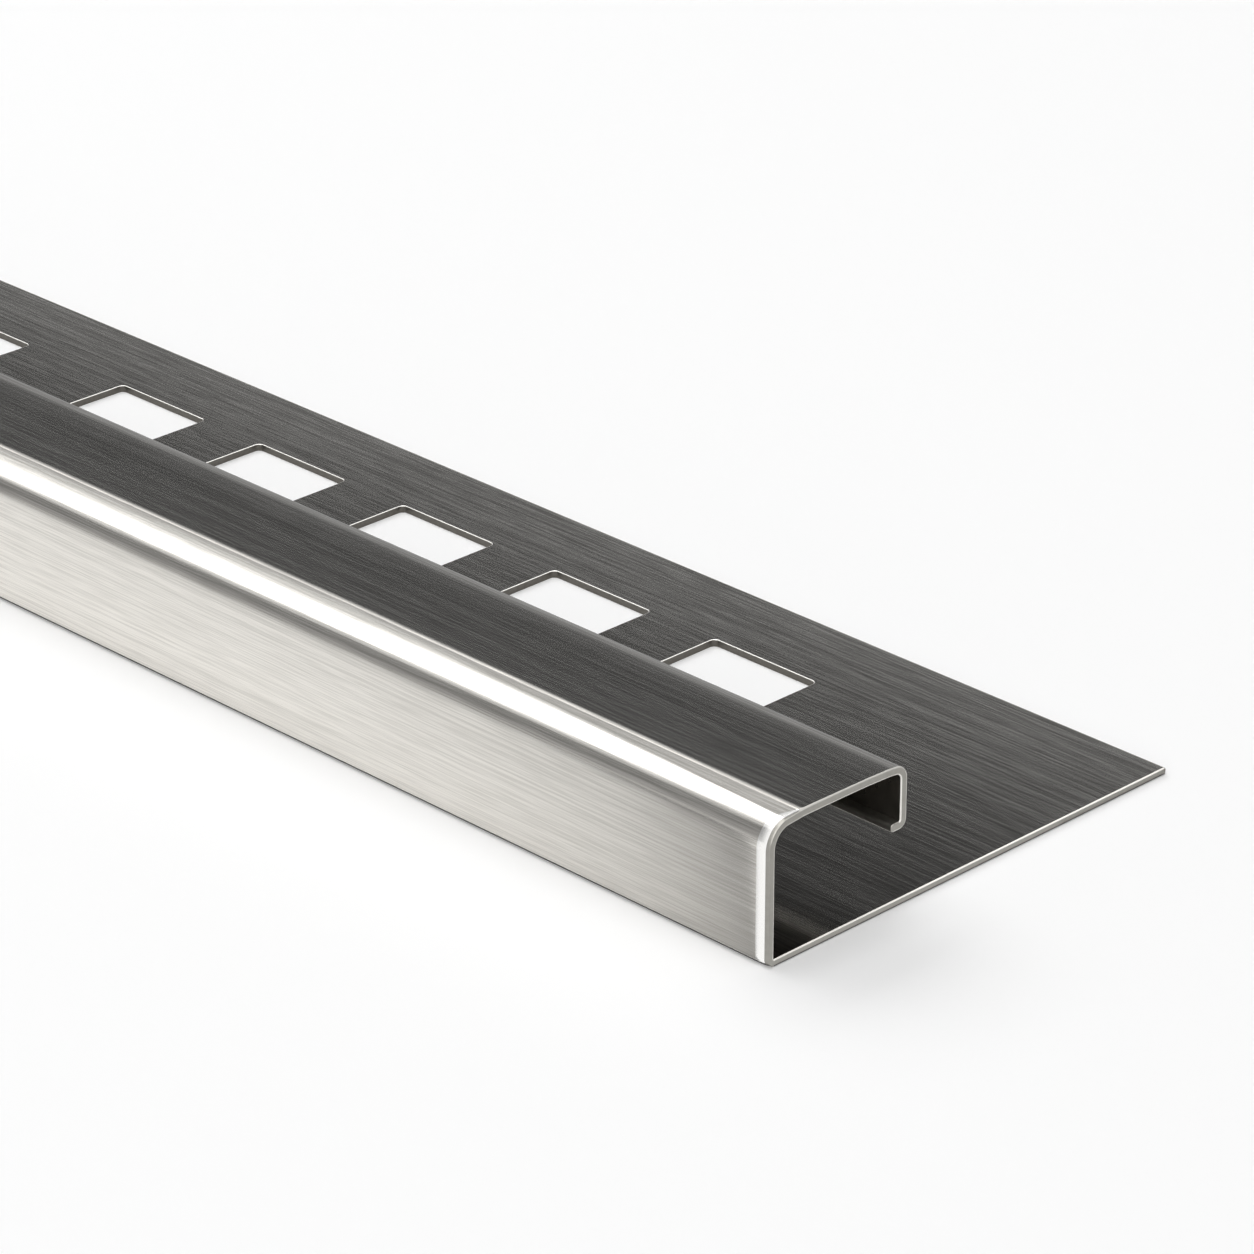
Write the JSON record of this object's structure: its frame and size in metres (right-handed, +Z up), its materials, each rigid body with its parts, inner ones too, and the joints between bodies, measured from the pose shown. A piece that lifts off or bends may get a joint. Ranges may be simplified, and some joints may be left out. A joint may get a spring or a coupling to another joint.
{
  "type": "tile edge trim",
  "caption": "Square edge trim for tiles: a folded stainless bar with a rounded front edge and an open slot at the back, on a flat perforated leg that is bedded in adhesive.",
  "frame": {"origin": "middle of the underside of the bounding box, on the surface that the leg is bedded on", "axes": "+X along the bar towards the cut end nearest the first hole, +Y from the visible front face to the free edge of the leg, +Z up to the top face that lies flush with the tiles"},
  "size_m": [1, 0.0412, 0.011],
  "materials": {
    "brushed_stainless": "long-grain brushed stainless steel"
  },
  "bodies": {
    "root": {"edge_trim": "brushed_stainless"}
  },
  "joints": []
}
